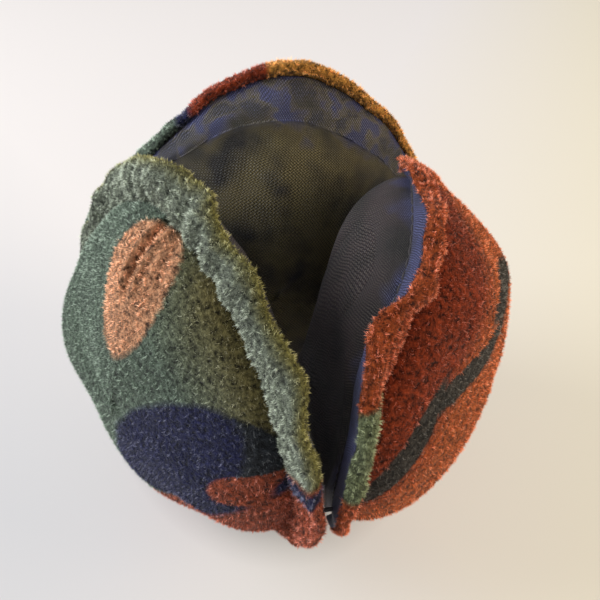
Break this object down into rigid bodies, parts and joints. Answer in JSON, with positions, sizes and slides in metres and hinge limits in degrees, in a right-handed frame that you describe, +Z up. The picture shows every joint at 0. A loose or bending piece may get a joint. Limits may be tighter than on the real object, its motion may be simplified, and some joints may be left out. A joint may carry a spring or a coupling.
{
  "type": "fleece treat ball",
  "caption": "Soft puzzle ball of stuffed fleece cushions joined tip to tip round a treat pocket, with slits that open as the cushions swing.",
  "frame": {"origin": "centre of the ball's outer box, on the surface it stands on", "axes": "+Z up the ball's axis, -Y towards the front join, +Y out through the back cushion"},
  "size_m": [0.1036, 0.106, 0.1013],
  "materials": {
    "fleece_left": "deep green fleece, short matted pile, with an orange oval, navy and rust patches",
    "fleece_right": "rust fleece, short matted pile, with a charcoal band",
    "fleece_back": "rust and amber fleece, short matted pile",
    "lining": "dark woven nylon with a soft sheen",
    "filling": "white polyester fibre",
    "thread": "dark sewing thread"
  },
  "bodies": {
    "join_stitches": {"join_stitch_front": "thread", "join_stitch_left": "thread", "join_stitch_right": "thread"},
    "left_cushion": {"fleece_panel_left": "fleece_left", "lining_panel_left": "lining", "filling_left": "filling", "needle_thread_left": "thread", "bobbin_thread_left": "thread"},
    "right_cushion": {"fleece_panel_right": "fleece_right", "lining_panel_right": "lining", "filling_right": "filling", "needle_thread_right": "thread", "bobbin_thread_right": "thread"},
    "back_cushion": {"fleece_panel_back": "fleece_back", "lining_panel_back": "lining", "filling_back": "filling", "needle_thread_back": "thread", "bobbin_thread_back": "thread"}
  },
  "joints": [
    {"name": "left_cushion_swing", "type": "hinge", "parent": "join_stitches", "child": "left_cushion", "pos_m": [-0.02335, -0.00884, 0.049], "axis": [-0.5, 0.866, 0], "range_deg": [-10, 10]},
    {"name": "right_cushion_swing", "type": "hinge", "parent": "join_stitches", "child": "right_cushion", "pos_m": [0.02215, -0.00884, 0.049], "axis": [-0.5, -0.866, 0], "range_deg": [-10, 10]},
    {"name": "back_cushion_swing", "type": "hinge", "parent": "join_stitches", "child": "back_cushion", "pos_m": [-0.0006, 0.03056, 0.049], "axis": [1, 0, 0], "range_deg": [-10, 10]}
  ]
}
